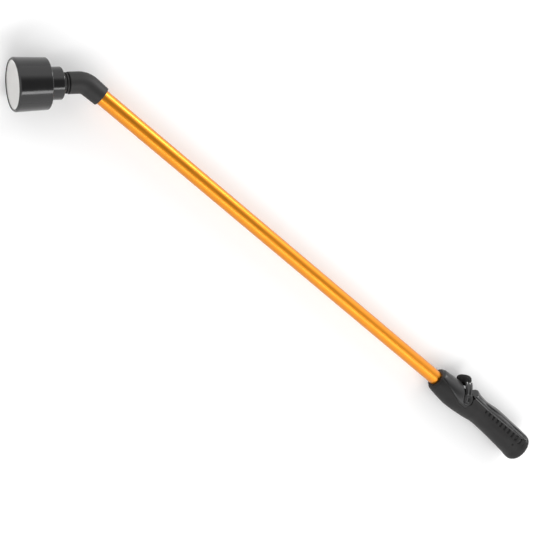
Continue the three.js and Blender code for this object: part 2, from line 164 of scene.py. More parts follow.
def along_keys(keys: Sequence[tuple[float, float]], x: float) -> float:
    """Reads a value off a list of keys, eased between them.

    Args:
        keys: pairs of place and value, in order.
        x: the place to read at.

    Returns:
        The value there.
    """
    after = next((i for i, key in enumerate(keys) if key[0] >= x - 1e-6), len(keys) - 1)
    after = max(1, after)
    (x0, v0), (x1, v1) = keys[after - 1], keys[after]

    def slope(i: int) -> float:
        """Returns the curve's slope at key i."""
        before, beyond = keys[max(i - 1, 0)], keys[min(i + 1, len(keys) - 1)]
        return (beyond[1] - before[1]) / (beyond[0] - before[0])

    span = x1 - x0
    t = (x - x0) / span
    return (
        v0 * (1 + 2 * t) * (1 - t) ** 2
        + slope(after - 1) * span * t * (1 - t) ** 2
        + v1 * t * t * (3 - 2 * t)
        + slope(after) * span * t * t * (t - 1)
    )


def ridge(distance: float, width: float) -> float:
    """Returns the height of a rounded ridge, 1 at its middle, at a distance from it."""
    return math.exp(-((distance / width) ** 2))


def distance_to_line(
    x: float, z: float, line: Sequence[tuple[float, float]]
) -> float:
    """Returns the distance from a point to a line of joined stretches in the X-Z plane."""
    best = math.inf
    for (ax, az), (bx, bz) in zip(line, line[1:]):
        dx, dz = bx - ax, bz - az
        t = ((x - ax) * dx + (z - az) * dz) / (dx * dx + dz * dz)
        t = min(max(t, 0.0), 1.0)
        best = min(best, math.hypot(x - ax - t * dx, z - az - t * dz))
    return best


def tidy_solid(bm: BMesh) -> BMesh:
    """Returns the solid with its doubles merged and its faces outwards."""
    bmesh.ops.remove_doubles(bm, verts=bm.verts, dist=1e-4)
    bmesh.ops.dissolve_degenerate(bm, edges=bm.edges, dist=1e-5)
    bmesh.ops.recalc_face_normals(bm, faces=bm.faces)
    return bm


def braced(outline: Sequence[Corner], open_ended: bool) -> list[Corner]:
    """Adds a corner just inside each rounded end of a long run, so that the run is shaded true.

    Args:
        outline: the corners, in order.
        open_ended: whether the last corner isn't joined to the first.

    Returns:
        The fuller outline.
    """
    fuller = []
    for a, b in zip(outline, [*outline[1:], None if open_ended else outline[0]]):
        fuller.append(a)
        if b is None:
            continue
        length = math.hypot(b.x - a.x, b.r - a.r)
        if length < a.round + b.round + 4 * BRACE:
            continue
        places = [a.round + BRACE] if a.round else []
        places += [length - b.round - BRACE] if b.round else []
        for place in places:
            t = place / length
            fuller.append(Corner(a.x + (b.x - a.x) * t, a.r + (b.r - a.r) * t))
    return fuller


def turned(outline: Sequence[Corner], sides: int = ROUND) -> BMesh:
    """Turns an outline about the X axis.

    Args:
        outline: the corners, in order. It is closed unless it starts and ends on the axis.
        sides: the number of steps round.

    Returns:
        The closed solid.
    """
    bm = bmesh.new()
    open_ended = outline[0].r == 0 and outline[-1].r == 0
    outline = braced(outline, open_ended)
    points = [bm.verts.new((corner.x, 0.0, corner.r)) for corner in outline]
    for a, b in zip(points, points[1:] if open_ended else points[1:] + points[:1]):
        bm.edges.new((a, b))
    for size in sorted({corner.round for corner in outline} - {0.0}):
        chosen = [p for p, corner in zip(points, outline) if corner.round == size]
        bmesh.ops.bevel(
            bm, geom=chosen, offset=size, affect="VERTICES", segments=3, profile=0.5,
            material=-1, clamp_overlap=True,
        )
    bmesh.ops.spin(
        bm, geom=bm.verts[:] + bm.edges[:], cent=(0, 0, 0), axis=(1, 0, 0),
        angle=math.tau, steps=sides, use_merge=True,
    )
    return tidy_solid(bm)


def bar(start: float, end: float, radius: float, edge: float = 0.0) -> list[Corner]:
    """Returns the outline of a solid round bar along X."""
    return [
        Corner(start, 0), Corner(start, radius, edge), Corner(end, radius, edge), Corner(end, 0),
    ]


def sleeve(
    start: float, end: float, inner: float, outer: float, edge: float = 0.0
) -> list[Corner]:
    """Returns the outline of a plain sleeve along X."""
    return [
        Corner(start, inner, edge), Corner(start, outer, edge),
        Corner(end, outer, edge), Corner(end, inner, edge),
    ]


def about_pivot(bm: BMesh) -> BMesh:
    """Returns a piece turned about X, stood about the Y axis through the lever's pivot."""
    bm.transform(Matrix.Translation((Handle.pivot_x, 0, 0)) @ Matrix.Rotation(math.pi / 2, 4, "Z"))
    return bm


def o_ring(radius: float, thickness: float) -> BMesh:
    """Returns an O-ring about the X axis.

    Args:
        radius: from the axis to the middle of the ring's section.
        thickness: the section's diameter.
    """
    bm = bmesh.new()
    bmesh.ops.create_circle(
        bm, cap_ends=False, segments=14, radius=thickness / 2,
        matrix=Matrix.Translation((0, 0, radius)) @ Matrix.Rotation(math.pi / 2, 4, "X"),
    )
    bmesh.ops.spin(
        bm, geom=bm.verts[:] + bm.edges[:], cent=(0, 0, 0), axis=(1, 0, 0),
        angle=math.tau, steps=FINE_ROUND, use_merge=True,
    )
    return tidy_solid(bm)


def prism(outline: Sequence[tuple[float, float]], low: float, high: float) -> BMesh:
    """Gives a flat outline in the X-Z plane thickness along Y.

    Args:
        outline: the corners.
        low: the lower Y.
        high: the higher Y.

    Returns:
        The closed solid.
    """
    bm = bmesh.new()
    face = bm.faces.new([bm.verts.new((x, low, z)) for x, z in outline])
    grown = bmesh.ops.extrude_face_region(bm, geom=[face])
    moved = [part for part in grown["geom"] if isinstance(part, BMVert)]
    bmesh.ops.translate(bm, verts=moved, vec=(0, high - low, 0))
    bmesh.ops.recalc_face_normals(bm, faces=bm.faces)
    return bm


def block(sizes: Sequence[float], middle: Sequence[float] = (0, 0, 0)) -> BMesh:
    """Returns a rectangular block of these sizes along X, Y and Z about its middle."""
    bm = bmesh.new()
    bmesh.ops.create_cube(
        bm, size=1, matrix=Matrix.Translation(middle) @ Matrix.Diagonal((*sizes, 1)),
    )
    return bm


def thread(
    start: float, length: float, pitch: float, root: float, crest: float
) -> BMesh:
    """Winds a thread's ridge about the X axis.

    Args:
        start: where its first turn begins.
        length: how far it runs.
        pitch: the distance between turns.
        root: the radius of its foot, a little inside the wall it stands on.
        crest: the radius of its crest.

    Returns:
        The closed ridge.
    """
    bm = bmesh.new()
    section = ((-0.42, root), (-0.12, crest), (0.12, crest), (0.42, root))
    face = bm.faces.new([bm.verts.new((start + x * pitch, 0, r)) for x, r in section])
    turns = length / pitch
    steps = round(turns * FINE_ROUND)
    bmesh.ops.spin(
        bm, geom=[face], cent=(0, 0, 0), axis=(1, 0, 0),
        dvec=(length / steps, 0, 0), angle=math.tau * turns, steps=steps,
    )
    bmesh.ops.recalc_face_normals(bm, faces=bm.faces)
    return bm


def lofted(section: BMesh, stations: Sequence[Matrix]) -> BMesh:
    """Carries a flat section through a row of stations.

    Args:
        section: one flat face about the origin.
        stations: the section's place at each station.

    Returns:
        The closed solid.
    """
    bm = section
    bm.transform(stations[0])
    bm.faces.ensure_lookup_table()
    face = bm.faces[0]
    for before, after in zip(stations, stations[1:]):
        grown = bmesh.ops.extrude_face_region(bm, geom=[face, *face.edges, *face.verts])["geom"]
        moved = [part for part in grown if isinstance(part, BMVert)]
        bmesh.ops.transform(bm, matrix=after @ before.inverted(), verts=moved)
        face = next(part for part in grown if isinstance(part, bmesh.types.BMFace))
    return tidy_solid(bm)


def port(height: float, width: float, start: float, end: float) -> BMesh:
    """Returns an oblong rod along X, flat side to side, that cuts a waterway's port."""
    bm = bmesh.new()
    bmesh.ops.create_circle(
        bm, cap_ends=True, segments=FINE_ROUND, radius=height / 2,
        matrix=Matrix.Rotation(math.pi / 2, 4, "Y"),
    )
    for vert in bm.verts:
        if abs(vert.co.y) > 1e-6:
            vert.co.y += math.copysign((width - height) / 2, vert.co.y)
    return lofted(bm, [Matrix.Translation((x, 0, 0)) for x in (start, end)])


def combined(base: BMesh, tool: BMesh, how: Combine) -> BMesh:
    """Joins, cuts or trims one solid with another. Both are used up.

    Args:
        base: the solid that is worked on.
        tool: the solid that works on it.
        how: the way they meet.

    Returns:
        The resulting solid.
    """
    objects = []
    for bm, name in ((base, "base"), (tool, "tool")):
        if not all(edge.is_manifold for edge in bm.edges):
            raise RuntimeError(f"the {name} isn't a closed solid")
        mesh = bpy.data.meshes.new(name)
        bm.to_mesh(mesh)
        bm.free()
        objects.append(bpy.data.objects.new(name, mesh))
        bpy.context.scene.collection.objects.link(objects[-1])
    worked, other = objects
    modifier = worked.modifiers.new("combine", "BOOLEAN")
    modifier.operation = how.value
    modifier.solver = "MANIFOLD"
    modifier.object = other
    result = bpy.data.meshes.new_from_object(
        worked.evaluated_get(bpy.context.evaluated_depsgraph_get())
    )
    bm = bmesh.new()
    bm.from_mesh(result)
    bpy.data.meshes.remove(result)
    for obj in objects:
        mesh = obj.data
        bpy.data.objects.remove(obj)
        bpy.data.meshes.remove(mesh)
    if not bm.faces:
        raise RuntimeError(f"nothing is left after {how.name}")
    return bm


def cut(base: BMesh, *tools: BMesh) -> BMesh:
    """Returns the base with every tool cut out of it."""
    for tool in tools:
        base = combined(base, tool, Combine.CUT)
    return base


def joined(base: BMesh, *others: BMesh) -> BMesh:
    """Returns the base with the others fused to it."""
    for other in others:
        base = combined(base, other, Combine.JOIN)
    return base


def gathered(base: BMesh, *others: BMesh) -> BMesh:
    """Returns one mesh that holds the base and the others, each as its own closed shell."""
    for other in others:
        mesh = bpy.data.meshes.new("gathered")
        other.to_mesh(mesh)
        other.free()
        base.from_mesh(mesh)
        bpy.data.meshes.remove(mesh)
    return base


# ---- Finishes ----


def linear(hex_colour: str) -> tuple[float, float, float, float]:
    """Returns a "#rrggbb" sRGB colour as linear red, green, blue and alpha."""
    parts = [int(hex_colour[i : i + 2], 16) / 255 for i in (1, 3, 5)]
    return (*((c / 12.92 if c <= 0.04045 else ((c + 0.055) / 1.055) ** 2.4) for c in parts), 1.0)


def per_metre(size_mm: float) -> float:
    """Returns the texture scale at which one feature is this many millimetres."""
    return 1 / (size_mm * MM)


def add_node(tree: NodeTree, kind: str, inputs: dict | None = None, **settings: object) -> Node:
    """Adds a node with its settings and its inputs.

    Args:
        tree: the node tree.
        kind: the node's type name.
        inputs: a value, or the socket that feeds it, for each input by name or number.
        settings: the node's own properties.

    Returns:
        The new node.
    """
    node = tree.nodes.new(kind)
    for name, value in settings.items():
        setattr(node, name, value)
    for key, value in (inputs or {}).items():
        if isinstance(value, NodeSocket):
            tree.links.new(value, node.inputs[key])
        else:
            node.inputs[key].default_value = value
    return node


@dataclass(frozen=True)
class Finish:
    """A material's shader values and the grain that every finish here carries.

    The base colour drifts a little between two tones, the roughness drifts with it, and a fine
    grain lifts the surface.
    """

    name: str
    colour: str
    second_colour: str
    roughness: tuple[float, float]
    grain_mm: float
    grain_height_mm: float
    drift_mm: float = 25.0
    metallic: float = 0.0
    ior: float = 1.5
    coat: float = 0.0
    coat_roughness: float = 0.3
    stretch: float = 1.0     # how many times longer the grain is along the piece than across

    def material(self, place: Matrix) -> Material:
        """Builds the material.

        Args:
            place: the place of the pieces that wear it, which its grain follows.

        Returns:
            The node material.
        """
        made = bpy.data.materials.new(self.name)
        made.use_nodes = True
        tree = made.node_tree
        tree.nodes.clear()
        coordinates = add_node(tree, "ShaderNodeTexCoord").outputs["Object"]
        turn = place.to_3x3().normalized().to_euler()
        own = add_node(
            tree, "ShaderNodeMapping",
            {"Vector": coordinates, "Location": place.to_translation(), "Rotation": turn},
            vector_type="TEXTURE",
        ).outputs["Vector"]
        drift = add_node(
            tree, "ShaderNodeTexNoise",
            {"Vector": own, "Scale": per_metre(self.drift_mm), "Detail": 3.0},
        ).outputs["Fac"]
        grain = self.grain(tree, own)
        tone = add_node(
            tree, "ShaderNodeMix",
            {"Factor": drift, "A": linear(self.colour), "B": linear(self.second_colour)},
            data_type="RGBA",
        )
        blend = add_node(tree, "ShaderNodeMath", {0: drift, 1: grain}, operation="MULTIPLY")
        rough = add_node(
            tree, "ShaderNodeMapRange",
            {
                "Value": blend.outputs["Value"], "From Min": 0.1, "From Max": 0.45,
                "To Min": self.roughness[0], "To Max": self.roughness[1],
            },
        ).outputs["Result"]
        bump = add_node(
            tree, "ShaderNodeBump",
            {"Height": grain, "Distance": self.grain_height_mm * MM, "Strength": 1.0},
        ).outputs["Normal"]
        shader = add_node(
            tree, "ShaderNodeBsdfPrincipled",
            {
                "Base Color": tone.outputs["Result"], "Roughness": rough, "Normal": bump,
                "Metallic": self.metallic, "IOR": self.ior, "Coat Weight": self.coat,
                "Coat Roughness": self.coat_roughness,
            },
        )
        add_node(tree, "ShaderNodeOutputMaterial", {"Surface": shader.outputs["BSDF"]})
        return made

    def grain(self, tree: NodeTree, own: NodeSocket) -> NodeSocket:
        """Adds the fine grain of the surface and returns its height."""
        stretched = add_node(
            tree, "ShaderNodeMapping", {"Vector": own, "Scale": (1 / self.stretch, 1, 1)},
            vector_type="POINT",
        ).outputs["Vector"]
        return add_node(
            tree, "ShaderNodeTexNoise",
            {
                "Vector": stretched, "Scale": per_metre(self.grain_mm), "Detail": 2.0,
                "Roughness": 0.55,
            },
        ).outputs["Fac"]


# A drawn aluminium tube, bead-softened and dyed orange in its oxide layer: a satin metal with
# faint lines along its length.
ANODISED_ALUMINIUM = Finish(
    name="orange anodised aluminium", colour="#da880c", second_colour="#d2800a",
    roughness=(0.34, 0.44), grain_mm=0.45, grain_height_mm=0.004, metallic=1.0, stretch=60,
    coat=0.5,
)
# Polished ABS from a mirror-finished mould: near black, with sharp reflections that waver a
# little where the wall has sunk.
GLOSS_ABS = Finish(
    name="polished black ABS", colour="#0a0a0b", second_colour="#0e0d0e",
    roughness=(0.10, 0.17), grain_mm=6.0, grain_height_mm=0.02, ior=1.54,
)
# Glass-filled nylon from a spark-eroded mould: charcoal, dull, with a fine even grain. The IOR is
# under solid nylon's 1.53, which keeps the glancing sheen low.
MATTE_NYLON = Finish(
    name="matte charcoal nylon", colour="#161515", second_colour="#1b1a1a",
    roughness=(0.5, 0.62), grain_mm=0.7, grain_height_mm=0.05, ior=1.45,
)
# Satin ABS: the same charcoal, smoother, so that long soft highlights follow its curves. The IOR
# is under solid ABS's 1.54, which holds the highlights down.
SATIN_ABS = Finish(
    name="satin charcoal ABS", colour="#151516", second_colour="#191819",
    roughness=(0.3, 0.4), grain_mm=1.2, grain_height_mm=0.015, ior=1.45,
)
# Soft elastomer moulded over the handle: charcoal, with a pebbled grain that kills reflections.
# The IOR is well under an elastomer's 1.5, which keeps the sheen low.
SOFT_GRIP = Finish(
    name="pebbled charcoal elastomer", colour="#100f0f", second_colour="#151414",
    roughness=(0.48, 0.62), grain_mm=0.9, grain_height_mm=0.09, ior=1.36,
)
# Glass-filled nylon for the pressure body, straight from a plain mould: black and half dull.
BODY_NYLON = Finish(
    name="black glass-filled nylon", colour="#161616", second_colour="#1b1b1b",
    roughness=(0.42, 0.54), grain_mm=1.5, grain_height_mm=0.02, ior=1.53,
)
# Machined acetal: white, smooth and a little greasy to the eye.
ACETAL = Finish(
    name="white acetal", colour="#ece9e0", second_colour="#e6e2d6",
    roughness=(0.28, 0.36), grain_mm=2.0, grain_height_mm=0.01, ior=1.48,
)
# Turned brass with fine tool rings round it.
TURNED_BRASS = Finish(
    name="turned brass", colour="#c79a4a", second_colour="#b98d40",
    roughness=(0.22, 0.34), grain_mm=0.35, grain_height_mm=0.01, metallic=1.0, stretch=0.05,
)
# Black nitrile rubber for the seals: dull with a dusty bloom.
NITRILE = Finish(
    name="black nitrile rubber", colour="#161616", second_colour="#1d1c1c",
    roughness=(0.6, 0.75), grain_mm=0.5, grain_height_mm=0.02, ior=1.52,
)
# Satin stainless steel sheet for the spray face: bright, with a soft blurred sheen. The colour is
# lighter than bare steel's, which makes the face a pale, even silver.
STAINLESS = Finish(
    name="satin stainless steel", colour="#f6f5f3", second_colour="#efeeec",
    roughness=(0.48, 0.58), grain_mm=0.4, grain_height_mm=0.006, metallic=1.0,
)


class Wardrobe:
    """The finishes, each made a material once for each place that wears it."""

    def __init__(self) -> None:
        """Starts with nothing made."""
        self.made: dict[tuple[str, int], Material] = {}

    def get(self, finish: Finish, place: Matrix) -> Material:
        """Returns the finish's material for pieces drawn in this place."""
        key = (finish.name, id(place))
        if key not in self.made:
            self.made[key] = finish.material(place)
        return self.made[key]


@dataclass
class Maker:
    """Turns finished shapes into pieces of the frame."""

    placing: Placing
    wardrobe: Wardrobe = field(default_factory=Wardrobe)

    def piece(
        self, name: str, shape: BMesh, place: Matrix, finish: Finish, body: Body,
        replaces: str,
    ) -> Object:
        """Makes a piece of a shape and puts it in the frame.

        Args:
            name: the piece's name.
            shape: the shape in millimetres, which is used up.
            place: the matrix from the shape's millimetres to the frame.
            finish: what it is made of.
            body: the body that it rides on.
            replaces: the CAD node that it stands for.

        Returns:
            The new object.
        """
        shape.transform(place)
        mesh = bpy.data.meshes.new(name)
        shape.to_mesh(mesh)
        shape.free()
        mesh.shade_smooth()
        mesh.set_sharp_from_angle(angle=CREASE)
        obj = bpy.data.objects.new(name, mesh)
        bpy.context.scene.collection.objects.link(obj)
        mesh.materials.append(self.wardrobe.get(finish, place))
        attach(obj, body.value)
        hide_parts(replaces)
        log.info(
            "%s: %d faces, rides on %s, stands for %s",
            name, len(mesh.polygons), body.value, replaces,
        )
        return obj


# ---- Tube and elbow ----


@dataclass(frozen=True)
class Tube:
    """The long aluminium tube."""

    radius: float = 9.525
    wall: float = 1.25
    start: float = 133.0
    end: float = 750.9

    def build(self, maker: Maker) -> None:
        """Builds the tube."""
        outline = sleeve(self.start, self.end, self.radius - self.wall, self.radius, 0.25)
        maker.piece(
            "drawn_tube", turned(outline, 128), maker.placing.wand, ANODISED_ALUMINIUM,
            Body.WAND, "tube",
        )


@dataclass(frozen=True)
class Elbow:
    """The moulded elbow that turns the stream down, with its seals and its thread."""

    bend_deg: float = 42.0
    bend_radius: float = 20.0
    bend_start: float = 751.5
    skirt_mouth: float = 734.0
    skirt_radius: float = 12.0
    body_radius: float = 12.6
    spigot_start: float = 716.0
    spigot_radius: float = 7.9
    waterway: float = 5.0
    shoulder: float = 20.0
    neck_radius: float = 12.1
    ring_depth: float = 1.8
    thread_start: float = 28.7
    thread_end: float = 42.3
    thread_radius: float = 13.3
    thread_depth: float = 1.1
    ring_width: float = 1.5
    seal_places: tuple[float, float] = (722.0, 729.0)
    seal_radius: float = 7.1
    seal_thickness: float = 1.6

    @classmethod
    def bend_middle(cls) -> float:
        """Returns where the elbow's two straight axes cross."""
        return cls.bend_start + cls.bend_radius * math.tan(math.radians(cls.bend_deg) / 2)

    def past_bend(self, s: float) -> float:
        """Returns the place on the straightened elbow that is s past the middle of the bend."""
        angle = math.radians(self.bend_deg)
        return self.bend_start + self.bend_radius * (angle - math.tan(angle / 2)) + s

    def curve(self, radius: float) -> list[Corner]:
        """Returns the rings of a wall of this radius through the bend."""
        length = self.bend_radius * math.radians(self.bend_deg)
        return [Corner(self.bend_start + length * i / 20, radius) for i in range(21)]

    def bent(self, bm: BMesh) -> BMesh:
        """Returns a straight turned piece carried round the bend."""
        length = self.bend_radius * math.radians(self.bend_deg)
        for vert in bm.verts:
            x, _, z = vert.co
            inside = min(max(x - self.bend_start, 0.0), length)
            angle = inside / self.bend_radius
            beyond = x - self.bend_start - inside
            arm = self.bend_radius + z
            vert.co.x = self.bend_start + arm * math.sin(angle) + beyond * math.cos(angle)
            vert.co.z = arm * math.cos(angle) - beyond * math.sin(angle) - self.bend_radius
        return bm

    def moulding(self) -> BMesh:
        """Returns the elbow: spigot, skirt, bend, ringed neck and threaded end."""
        half = self.seal_thickness / 2 + GAP
        floor = self.seal_radius - self.seal_thickness / 2 - GAP
        slot = Tube.radius + GAP + 0.05
        end = Tube.end + GAP
        neck, low = self.neck_radius, self.neck_radius - self.ring_depth
        width = self.ring_width
        ring = self.shoulder + width
        s = self.past_bend
        core = self.thread_radius - self.thread_depth
        outline = [
            Corner(self.spigot_start, self.waterway, 0.4),
            Corner(self.spigot_start, self.spigot_radius, 0.6),
        ]
        for place in self.seal_places:
            outline += [
                Corner(place - half, self.spigot_radius, 0.15), Corner(place - half, floor),
                Corner(place + half, floor), Corner(place + half, self.spigot_radius, 0.15),
            ]
        outline += [
            Corner(end, self.spigot_radius), Corner(end, slot), Corner(self.skirt_mouth, slot, 0.3),
            Corner(self.skirt_mouth, self.skirt_radius, 0.9),
            *self.curve(self.body_radius),
            Corner(s(self.shoulder), self.body_radius, 0.7), Corner(s(self.shoulder), low, 0.3),
            Corner(s(ring), low, 0.3), Corner(s(ring), neck, 0.3),
            Corner(s(ring + width), neck, 0.3), Corner(s(ring + width), low, 0.3),
            Corner(s(ring + 2 * width), low, 0.3), Corner(s(ring + 2 * width), neck, 0.3),
            Corner(s(self.thread_start), neck), Corner(s(self.thread_start), core + 0.2),
            Corner(s(self.thread_end), core, 0.6), Corner(s(self.thread_end), self.waterway, 0.4),
            *reversed(self.curve(self.waterway)),
        ]
        turns = thread(
            s(self.thread_start) + 1.4, self.thread_end - self.thread_start - 3.2,
            HOSE_PITCH, core - 0.4, self.thread_radius,
        )
        return self.bent(gathered(turned(outline, 88), turns))

    def build(self, maker: Maker) -> None:
        """Builds the elbow and its two O-rings."""
        wand = maker.placing.wand
        maker.piece(
            "elbow_moulding", self.moulding(), wand, MATTE_NYLON, Body.WAND, "elbow",
        )
        for place, side in zip(self.seal_places, ("rear", "front")):
            seal = o_ring(self.seal_radius, self.seal_thickness)
            bmesh.ops.translate(seal, verts=seal.verts, vec=(place, 0, 0))
            maker.piece(
                f"tube_seal_{side}", seal, wand, NITRILE, Body.WAND,
                f"elbow_o_ring_{side}",
            )


# ---- Handle ----


@dataclass(frozen=True)
class Handle:
    """The handle's three shells: soft grip, satin hood and glossy top panel."""

    length: float = 166.3
    mouth_radius: float = 9.9
    pivot_x: float = 117.5
    top: tuple = (
        (0, 18.2), (4, 19.3), (14, 20.1), (32, 20.9), (60, 22.0), (84, 20.2), (98, 22.0),
        (107, 24.2), (122, 19.6), (136, 17.6), (157, 16.3), (163, 15.6), (166.3, 13.4),
    )
    belly: tuple = (
        (0, 18.2), (3, 19.9), (8, 20.0), (14, 18.9), (32, 17.0), (60, 14.9), (84, 14.3),
        (98, 16.4), (129, 18.9), (148, 17.6), (163, 15.2), (166.3, 13.2),
    )
    half_width: tuple = (
        (0, 18.0), (4, 19.5), (14, 18.9), (32, 18.0), (60, 17.1), (84, 16.7), (100, 17.5),
        (129, 18.4), (148, 17.3), (163, 15.3), (166.3, 13.2),
    )
    rings: int = 330
    sides: int = 232
    panel_start: float = 2.4
    panel_end: float = 113.0
    panel_edge: float = 7.6
    hood_edge: tuple = ((168, 3), (151, -2.3), (126, -9.8), (113.3, -9.8))
    panel_grooves: tuple[float, ...] = (10.7, 14.0)
    groove_depth: float = 1.8
    groove_width: float = 0.75
    seam_depth: float = 1.0
    hood_seam: tuple[float, float] = (0.55, 0.8)       # depth and width
    recess_seam: tuple[float, float] = (0.5, 0.55)     # depth and width
    recess_front: tuple[float, float] = (25.5, 7.7)    # tilt in degrees, distance from the pivot
    recess_rear: tuple[float, float] = (-16.7, -6.3)
    dimple: tuple[float, float] = (22.7, -7.2)
    swell_height: float = 0.9
    pipe_room: float = 11.5
    rib_start: float = 8.5
    rib_pitch: float = 7.7
    rib_count: int = 10
    rib_depth: float = 2.2
    boss_room: float = 7.9
    arm_inner: float = 13.7
    recess_top: float = 10.5

    @staticmethod
    def recess_line(tilt_deg: float, offset: float) -> list[tuple[float, float]]:
        """Returns one wall of the lever's recess, at a tilt and a distance from the pivot."""
        angle = math.radians(tilt_deg)
        x = Handle.pivot_x + offset * math.cos(angle)
        z = -offset * math.sin(angle)
        return [(x, z), (x + 40 * math.sin(angle), z + 40 * math.cos(angle))]

    def recess_walls(self) -> tuple[list, list]:
        """Returns the front and the rear wall of the recess."""
        return self.recess_line(*self.recess_front), self.recess_line(*self.recess_rear)

    def ribs(self, x: float, z: float) -> float:
        """Returns how far the ribbed band under the panel stands out or in at a place."""
        lean = x + 0.28 * (z - 2.0)
        count = (lean - self.rib_start) / self.rib_pitch
        if not 0 <= count <= self.rib_count:
            return 0.0
        part = count - math.floor(count)
        tooth = smoothstep(0.0, 0.2, part) * (1 - smoothstep(0.62, 0.82, part))
        lower = -3.4 + 0.052 * (x - 10) + 1.2 * (2 * abs(part - 0.4)) ** 2
        band = smoothstep(lower - 0.3, lower + 1.1, z) * (1 - smoothstep(6.0, 6.9, z))
        last = self.rib_count
        fade = smoothstep(0, 0.15, count) * (1 - smoothstep(last - 0.15, last, count))
        return band * fade * self.rib_depth * (tooth * 0.12 - (1 - tooth))

    def relief(self, x: float, z: float) -> float:
        """Returns how far the handle's surface stands out (or in, below 0) of its plain form.

        Args:
            x: the place along the handle.
            z: the height on its side.

        Returns:
            The distance in millimetres.
        """
        out = self.ribs(x, z)
        swell = smoothstep(24, 36, x) * (1 - smoothstep(56, 72, x))
        out += self.swell_height * swell * ridge(z + 6.8 - 0.03 * (x - 45), 2.6)
        dimple_x, dimple_z = self.dimple
        out -= 0.8 * (1 - smoothstep(0.8, 1.9, math.hypot(x - dimple_x, z - dimple_z)))
        if self.panel_start < x < self.panel_end - 4:
            for groove in self.panel_grooves:
                out -= self.groove_depth * ridge(z - groove, self.groove_width)
            out -= self.seam_depth * ridge(z - self.panel_edge + 0.15, self.groove_width)
        if x > 112:
            depth, width = self.hood_seam
            out -= depth * ridge(distance_to_line(x, z, self.hood_edge), width)
        if x > 96 and z > -8:
            depth, width = self.recess_seam
            near = min(distance_to_line(x, z, wall) for wall in self.recess_walls())
            out -= depth * ridge(near, width)
        return out

    @staticmethod
    def level_share(unit_z: float, height: float) -> float:
        """Places a row of the form, so that rows on the sides stay level along the handle.

        Args:
            unit_z: the row's height on a round of radius 1.
            height: the handle's height, or its belly's depth, at this place.

        Returns:
            The row's height as a share of the handle's.
        """
        steep, turn = min(18.0 / height, 1.15), 0.68
        up = abs(unit_z)
        if up <= turn:
            return steep * unit_z
        span = 1 - turn
        t = (up - turn) / span
        low = steep * turn
        end_slope = min((1 - low) / span, 1.4)
        share = (
            low * (1 + 2 * t) * (1 - t) ** 2 + steep * span * t * (1 - t) ** 2
            + t * t * (3 - 2 * t) + end_slope * span * t * t * (t - 1)
        )
        return math.copysign(share, unit_z)

    def form(self) -> BMesh:
        """Returns the handle's outer form as one solid, with the relief of its surface."""
        bm = bmesh.new()
        bmesh.ops.create_cone(
            bm, cap_ends=True, segments=self.sides, radius1=1, radius2=1, depth=1,
            matrix=Matrix.Rotation(math.pi / 2, 4, "Y"),
        )
        long_edges = [e for e in bm.edges if abs(e.verts[0].co.x - e.verts[1].co.x) > 0.5]
        bmesh.ops.subdivide_edges(bm, edges=long_edges, cuts=self.rings)
        for vert in bm.verts:
            x = (vert.co.x + 0.5) * self.length
            width = along_keys(self.half_width, x)
            height = along_keys(self.top if vert.co.z > 0 else self.belly, x)
            share = self.level_share(vert.co.z, height)
            y = math.copysign(width * math.sqrt(max(0.0, 1 - share * share)), vert.co.y)
            z = height * share
            outward = Vector((0, y / width**2, z / height**2)).normalized()
            vert.co = Vector((x, y, z)) + outward * self.relief(x, z)
        return tidy_solid(bm)

    def bore(self) -> BMesh:
        """Returns the room inside the shells for the valve body and the tube."""
        inlet, barrel = Valve.inlet_radius + GAP, Valve.barrel_radius + GAP
        return turned([
            Corner(-1, 0), Corner(-1, inlet), Corner(21.3, inlet), Corner(27.6, self.pipe_room),
            Corner(100.5, self.pipe_room), Corner(103, barrel),
            Corner(Valve.barrel_end + 0.4, barrel),
            Corner(Valve.barrel_end + 0.4, self.mouth_radius),
            Corner(self.length + 2, self.mouth_radius), Corner(self.length + 2, 0),
        ])

    def recess_tools(self) -> list[BMesh]:
        """Returns the cutters that make the lever's recess: across the top and down each side."""
        front, rear = self.recess_walls()
        outline = [*front, *reversed(rear)]
        above = [(60, self.recess_top), (160, self.recess_top), (160, 60), (60, 60)]
        tools = [combined(prism(outline, -30, 30), prism(above, -31, 31), Combine.KEEP)]
        for side in (-1, 1):
            low, high = sorted((side * 30, side * self.arm_inner))
            tools.append(prism(outline, low, high))
            tools.append(about_pivot(turned(bar(low, high, self.boss_room))))
        return tools

    def panel_region(self, grow: float) -> BMesh:
        """Returns the block that the panel is kept within, its edge moved out by grow."""
        start, edge = self.panel_start - grow, self.panel_edge - grow
        corners = [(start, edge), (self.panel_end, edge), (self.panel_end, 40), (start, 40)]
        return prism(corners, -32, 32)

    def hood_region(self, grow: float) -> BMesh:
        """Returns the block that the hood is kept within, its edge moved out by grow."""
        edge = [(x, z - grow) for x, z in self.hood_edge]
        rear, low = edge[-1]
        return prism([*edge, (rear - grow, low), (rear - grow, 40), (168, 40)], -32, 32)

    def build(self, maker: Maker) -> None:
        """Builds the three shells."""
        shell = cut(self.form(), self.bore(), Valve().chamber_form(GAP), *self.recess_tools())
        upper = cut(shell.copy(), about_pivot(turned(bar(
            -Valve.chamber_half - GAP, Valve.chamber_half + GAP, Valve.chamber_radius + GAP))))
        wand = maker.placing.wand
        hood = combined(upper.copy(), self.hood_region(0), Combine.KEEP)
        panel = combined(upper, self.panel_region(0), Combine.KEEP)
        grip = cut(shell, self.panel_region(GAP), self.hood_region(GAP))
        maker.piece("soft_grip", grip, wand, SOFT_GRIP, Body.WAND, "grip")
        maker.piece("hood_cover", hood, wand, SATIN_ABS, Body.WAND, "hood")
        maker.piece("top_cover", panel, wand, GLOSS_ABS, Body.WAND, "top_panel")


# ---- Valve ----


